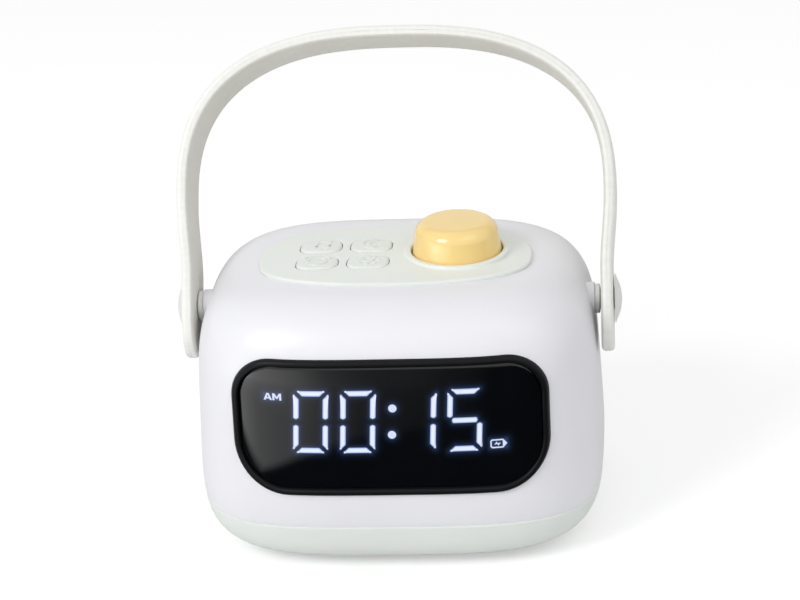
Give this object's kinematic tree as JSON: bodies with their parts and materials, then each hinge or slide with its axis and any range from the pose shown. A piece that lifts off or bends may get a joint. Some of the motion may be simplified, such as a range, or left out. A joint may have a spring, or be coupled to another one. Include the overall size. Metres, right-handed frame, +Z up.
{
  "type": "kids alarm clock with night light",
  "caption": "Bedside alarm clock in a rounded box: light diffuser over a base, curved display window, top keys, turn-and-press knob and a swinging carry strap.",
  "frame": {"origin": "on the table, under the middle of the part's footprint", "axes": "+Z up, -Y out of the display, +X to the right as seen from the front"},
  "size_m": [0.1452, 0.1082, 0.1576],
  "materials": {
    "diffuser": "satin translucent",
    "base_plastic": "satin",
    "panel_plastic": "satin",
    "key_plastic": "satin",
    "knob_plastic": "soft gloss",
    "lens_black": "high gloss",
    "rim_black": "gloss",
    "lit_digit": "lit",
    "dark_plastic": "matt",
    "white_plastic": "matt",
    "circuit_board": "satin",
    "led": "gloss",
    "steel": "brushed",
    "battery_skin": "satin",
    "rubber": "matt",
    "strap_leather": "fine grain",
    "rivet_plastic": "satin"
  },
  "bodies": {
    "clock": {"base_shell": "base_plastic", "diffuser_shell": "diffuser", "top_panel": "panel_plastic", "display_lens": "lens_black", "display_bezel": "rim_black", "display_block": "dark_plastic", "digit_segments": "lit_digit", "display_board": "circuit_board", "display_bracket": "white_plastic", "display_screws": "steel", "keypad_board": "circuit_board", "tact_switches": "dark_plastic", "keypad_screws": "steel", "panel_screws": "steel", "encoder_body": "steel", "inner_frame": "white_plastic", "light_board": "white_plastic", "night_leds": "led", "main_board": "circuit_board", "board_chips": "dark_plastic", "main_board_screws": "steel", "usb_socket": "steel", "charge_light": "white_plastic", "battery": "battery_skin", "speaker_basket": "dark_plastic", "speaker_cone": "dark_plastic", "base_screws": "steel", "rubber_feet": "rubber", "rivet_left": "rivet_plastic", "rivet_right": "rivet_plastic", "strap_washers": "rivet_plastic", "pivot_nuts": "steel"},
    "strap": {"carry_strap": "strap_leather"},
    "alarm_key": {"button_alarm": "key_plastic"},
    "sound_key": {"button_sound": "key_plastic"},
    "night_key": {"button_night": "key_plastic"},
    "brightness_key": {"button_brightness": "key_plastic"},
    "knob_plunger": {"encoder_plunger": "white_plastic"},
    "knob": {"encoder_shaft": "steel", "knob_cap": "knob_plastic"}
  },
  "joints": [
    {"name": "strap_swing", "type": "hinge", "parent": "clock", "child": "strap", "pos_m": [0, 0.002, 0.072], "axis": [1, 0, 0], "range_deg": [-102, 156]},
    {"name": "alarm_press", "type": "slide", "parent": "clock", "child": "alarm_key", "axis": [0, 0, 1], "range_m": [-0.0008, 0], "stiffness_N_per_m": 1500, "springref_m": 0.0002},
    {"name": "sound_press", "type": "slide", "parent": "clock", "child": "sound_key", "axis": [0, 0, 1], "range_m": [-0.0008, 0], "stiffness_N_per_m": 1500, "springref_m": 0.0002},
    {"name": "night_press", "type": "slide", "parent": "clock", "child": "night_key", "axis": [0, 0, 1], "range_m": [-0.0008, 0], "stiffness_N_per_m": 1500, "springref_m": 0.0002},
    {"name": "brightness_press", "type": "slide", "parent": "clock", "child": "brightness_key", "axis": [0, 0, 1], "range_m": [-0.0008, 0], "stiffness_N_per_m": 1500, "springref_m": 0.0002},
    {"name": "knob_press", "type": "slide", "parent": "clock", "child": "knob_plunger", "axis": [0, 0, 1], "range_m": [-0.0008, 0], "stiffness_N_per_m": 4000, "springref_m": 0.0002},
    {"name": "knob_turn", "type": "hinge", "parent": "knob_plunger", "child": "knob", "pos_m": [0.02, 0, 0.09], "axis": [0, 0, 1], "continuous": true}
  ]
}
